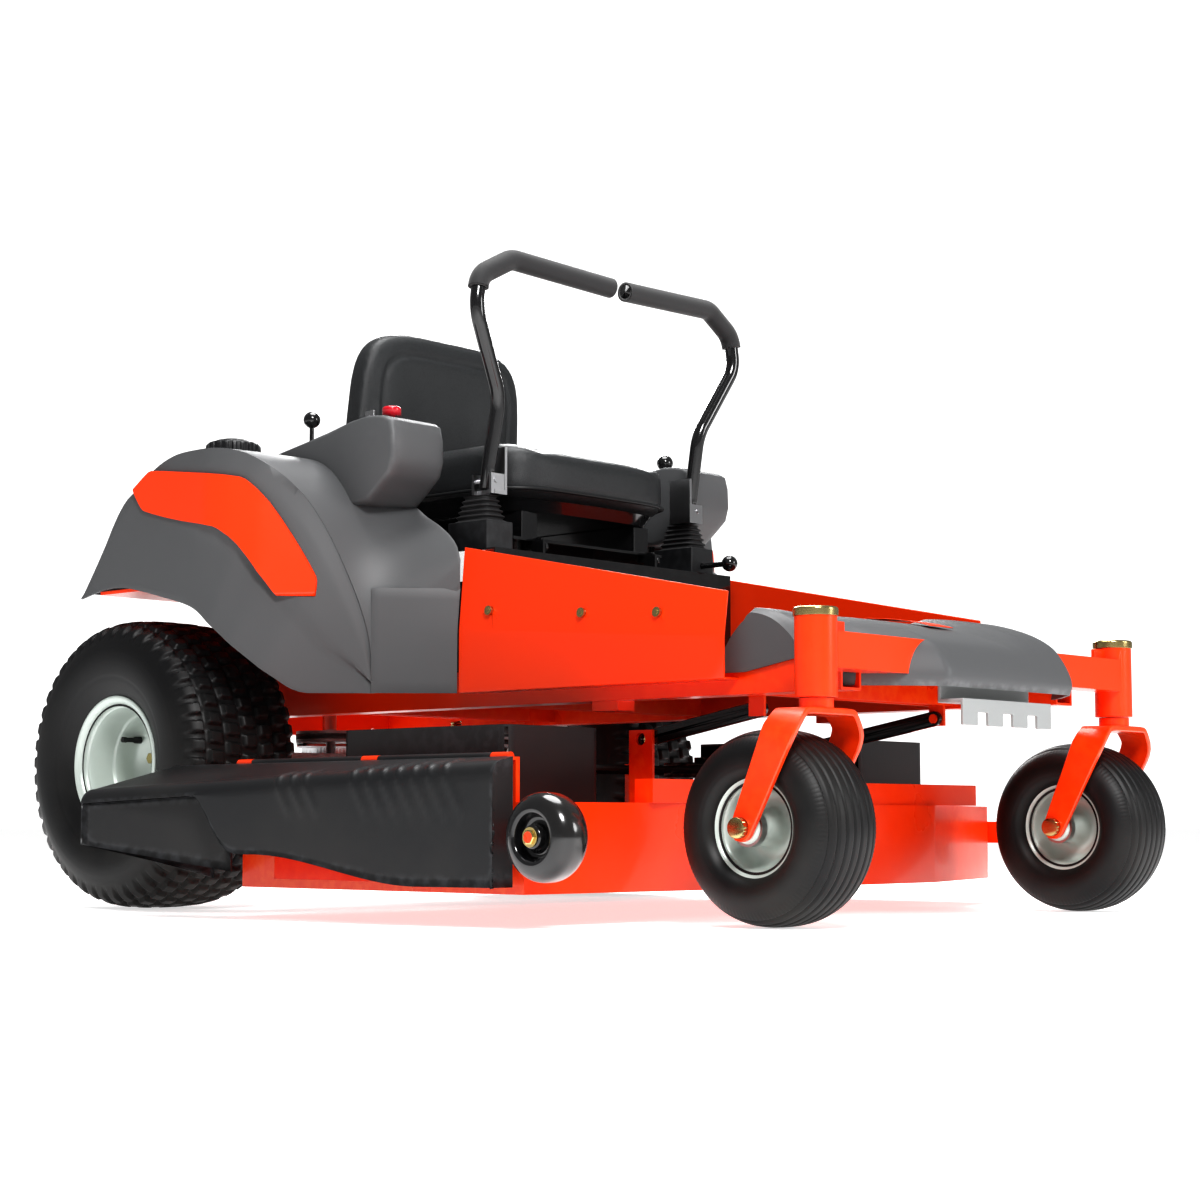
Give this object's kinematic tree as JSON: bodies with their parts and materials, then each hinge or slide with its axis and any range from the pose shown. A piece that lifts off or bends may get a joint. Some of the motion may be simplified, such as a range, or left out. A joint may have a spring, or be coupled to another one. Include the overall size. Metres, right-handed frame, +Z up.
{
  "type": "zero turn mower",
  "caption": "Ride-on zero turn mower with lap-bar steering, rear drive wheels, swivelling front casters and a side-discharge deck that lifts.",
  "frame": {"origin": "bottom centre of the whole machine on the ground", "axes": "+X to the operator's left, -Y the front, +Z up"},
  "size_m": [1.668, 1.9276, 1.1415],
  "materials": {
    "orange_paint": "gloss powder coat",
    "black_paint": "gloss black",
    "grey_plastic": "moulded, fine grain",
    "black_plastic": "moulded",
    "light_grey_plastic": "moulded tread",
    "rim_paint": "satin",
    "zinc": "yellow zinc plate",
    "steel": "machined",
    "tyre_rubber": "moulded rubber",
    "rubber": "matte",
    "vinyl": "grained vinyl over foam",
    "foam": "foam sleeve",
    "red_plastic": "moulded",
    "aluminium": "cast",
    "glossy_black": "gloss"
  },
  "bodies": {
    "chassis": {"front_axle": "orange_paint", "caster_caps": "zinc", "main_frame": "orange_paint", "engine_guard": "black_paint", "side_panel_left": "orange_paint", "side_panel_right": "orange_paint", "fasteners": "zinc", "floor_pan": "black_paint", "footrest_cover": "grey_plastic", "tread_plate": "light_grey_plastic", "fender_right": "grey_plastic", "fender_left": "grey_plastic", "fuel_tank": "black_plastic", "battery": "black_plastic", "engine_block": "aluminium", "engine_shroud": "black_plastic", "muffler": "steel", "transaxles": "aluminium", "drive_belt": "rubber", "lever_bases": "black_plastic", "lever_boots": "rubber"},
    "rear_wheel_right": {"rear_rim_right": "rim_paint", "rear_tyre_right": "tyre_rubber"},
    "caster_right": {"caster_yoke_right": "orange_paint", "caster_axle_right": "zinc"},
    "caster_wheel_right": {"caster_rim_right": "rim_paint", "caster_tyre_right": "tyre_rubber"},
    "control_arm_right": {"control_arm_right": "steel"},
    "lap_bar_right": {"lap_bar_right": "black_paint", "grip_right": "foam"},
    "rear_wheel_left": {"rear_rim_left": "rim_paint", "rear_tyre_left": "tyre_rubber"},
    "caster_left": {"caster_yoke_left": "orange_paint", "caster_axle_left": "zinc"},
    "caster_wheel_left": {"caster_rim_left": "rim_paint", "caster_tyre_left": "tyre_rubber"},
    "control_arm_left": {"control_arm_left": "steel"},
    "lap_bar_left": {"lap_bar_left": "black_paint", "grip_left": "foam"},
    "seat": {"seat_pan": "black_paint", "seat_cushion": "vinyl", "seat_back": "vinyl"},
    "fuel_cap": {"fuel_cap": "black_plastic"},
    "throttle": {"throttle_lever": "glossy_black"},
    "pto_knob": {"pto_knob": "red_plastic"},
    "ignition_key": {"ignition_key": "steel"},
    "engine_pulley": {"engine_pulley": "steel"},
    "deck": {"deck_shell": "orange_paint", "spindle_housings": "aluminium", "deck_belt": "rubber", "belt_covers": "black_plastic"},
    "lift_lever": {"lift_lever": "glossy_black"},
    "deck_links": {"deck_links": "black_paint"},
    "blade_right": {"blade_right": "black_paint"},
    "blade_center": {"blade_center": "black_paint"},
    "blade_left": {"blade_left": "black_paint"},
    "roller_right": {"roller_right": "glossy_black"},
    "roller_left": {"roller_left": "glossy_black"},
    "chute": {"chute": "black_plastic"},
    "brake_knob": {"brake_knob": "glossy_black"}
  },
  "joints": [
    {"name": "rear_wheel_right_spin", "type": "hinge", "parent": "chassis", "child": "rear_wheel_right", "pos_m": [-0.488, 0.47175, 0.254], "axis": [1, 0, 0], "continuous": true},
    {"name": "caster_right_swivel", "type": "hinge", "parent": "chassis", "child": "caster_right", "pos_m": [-0.363, -0.89125, 0.328], "axis": [0, 0, 1], "continuous": true},
    {"name": "caster_wheel_right_spin", "type": "hinge", "parent": "caster_right", "child": "caster_wheel_right", "pos_m": [-0.363, -0.82125, 0.1425], "axis": [1, 0, 0], "continuous": true},
    {"name": "control_arm_right_push", "type": "hinge", "parent": "chassis", "child": "control_arm_right", "pos_m": [-0.216, -0.05825, 0.64], "axis": [1, 0, 0], "range_deg": [-10, 18], "deforming": ["lever_boots"]},
    {"name": "lap_bar_right_swing_out", "type": "hinge", "parent": "control_arm_right", "child": "lap_bar_right", "pos_m": [-0.216, -0.07225, 0.74], "axis": [0, -1, 0], "range_deg": [0, 16]},
    {"name": "rear_wheel_left_spin", "type": "hinge", "parent": "chassis", "child": "rear_wheel_left", "pos_m": [0.6, 0.47175, 0.254], "axis": [1, 0, 0], "continuous": true},
    {"name": "caster_left_swivel", "type": "hinge", "parent": "chassis", "child": "caster_left", "pos_m": [0.475, -0.89125, 0.328], "axis": [0, 0, 1], "continuous": true},
    {"name": "caster_wheel_left_spin", "type": "hinge", "parent": "caster_left", "child": "caster_wheel_left", "pos_m": [0.475, -0.82125, 0.1425], "axis": [1, 0, 0], "continuous": true},
    {"name": "control_arm_left_push", "type": "hinge", "parent": "chassis", "child": "control_arm_left", "pos_m": [0.328, -0.05825, 0.64], "axis": [1, 0, 0], "range_deg": [-10, 18], "deforming": ["lever_boots"]},
    {"name": "lap_bar_left_swing_out", "type": "hinge", "parent": "control_arm_left", "child": "lap_bar_left", "pos_m": [0.328, -0.07225, 0.74], "axis": [0, 1, 0], "range_deg": [0, 16]},
    {"name": "seat_tilt", "type": "hinge", "parent": "chassis", "child": "seat", "pos_m": [0.056, -0.08825, 0.634], "axis": [1, 0, 0], "range_deg": [0, 35]},
    {"name": "fuel_cap_turn", "type": "hinge", "parent": "chassis", "child": "fuel_cap", "pos_m": [-0.414, 0.37675, 0.815], "axis": [0, 0, 1], "continuous": true},
    {"name": "throttle_set", "type": "hinge", "parent": "chassis", "child": "throttle", "pos_m": [-0.344, 0.24275, 0.798], "axis": [1, 0, 0], "range_deg": [-20, 20]},
    {"name": "pto_knob_pull", "type": "slide", "parent": "chassis", "child": "pto_knob", "axis": [0, 0, 1], "range_m": [0, 0.008]},
    {"name": "ignition_key_turn", "type": "hinge", "parent": "chassis", "child": "ignition_key", "pos_m": [-0.336, 0.09675, 0.85], "axis": [0, 0, 1], "range_deg": [-90, 0]},
    {"name": "engine_pulley_spin", "type": "hinge", "parent": "chassis", "child": "engine_pulley", "pos_m": [0.056, 0.64675, 0.3], "axis": [0, 0, 1], "continuous": true},
    {"name": "deck_lift", "type": "slide", "parent": "chassis", "child": "deck", "axis": [0, 0, 1], "range_m": [0, 0.064]},
    {"name": "lift_lever_pull", "type": "hinge", "parent": "chassis", "child": "lift_lever", "pos_m": [0.428, 0.14975, 0.52], "axis": [-1, 0, 0], "range_deg": [0, 25.5]},
    {"name": "deck_links_swing", "type": "hinge", "parent": "chassis", "child": "deck_links", "pos_m": [0.056, -0.64825, 0.327], "axis": [1, 0, 0], "range_deg": [-1, 16]},
    {"name": "blade_right_spin", "type": "hinge", "parent": "deck", "child": "blade_right", "pos_m": [-0.389, -0.21825, 0.2], "axis": [0, 0, 1], "continuous": true},
    {"name": "blade_center_spin", "type": "hinge", "parent": "deck", "child": "blade_center", "pos_m": [0.056, -0.32825, 0.2], "axis": [0, 0, 1], "continuous": true},
    {"name": "blade_left_spin", "type": "hinge", "parent": "deck", "child": "blade_left", "pos_m": [0.501, -0.21825, 0.2], "axis": [0, 0, 1], "continuous": true},
    {"name": "roller_right_spin", "type": "hinge", "parent": "deck", "child": "roller_right", "pos_m": [-0.684, -0.66525, 0.13], "axis": [1, 0, 0], "continuous": true},
    {"name": "roller_left_spin", "type": "hinge", "parent": "deck", "child": "roller_left", "pos_m": [0.796, -0.66525, 0.13], "axis": [1, 0, 0], "continuous": true},
    {"name": "chute_raise", "type": "hinge", "parent": "deck", "child": "chute", "pos_m": [-0.634, 0.47175, 0.245], "axis": [0, 1, 0], "range_deg": [0, 75]},
    {"name": "brake_knob_pull", "type": "slide", "parent": "chassis", "child": "brake_knob", "axis": [0, -1, 0], "range_m": [0, 0.02]}
  ],
  "couplings": [
    {"joint": "lift_lever_pull", "follows": "deck_lift", "rad_per_m": 6.8177},
    {"joint": "deck_links_swing", "follows": "deck_lift", "rad_per_m": 4.1197},
    {"joint": "blade_right_spin", "follows": "engine_pulley_spin", "ratio": 1},
    {"joint": "blade_center_spin", "follows": "engine_pulley_spin", "ratio": 1},
    {"joint": "blade_left_spin", "follows": "engine_pulley_spin", "ratio": 1}
  ]
}
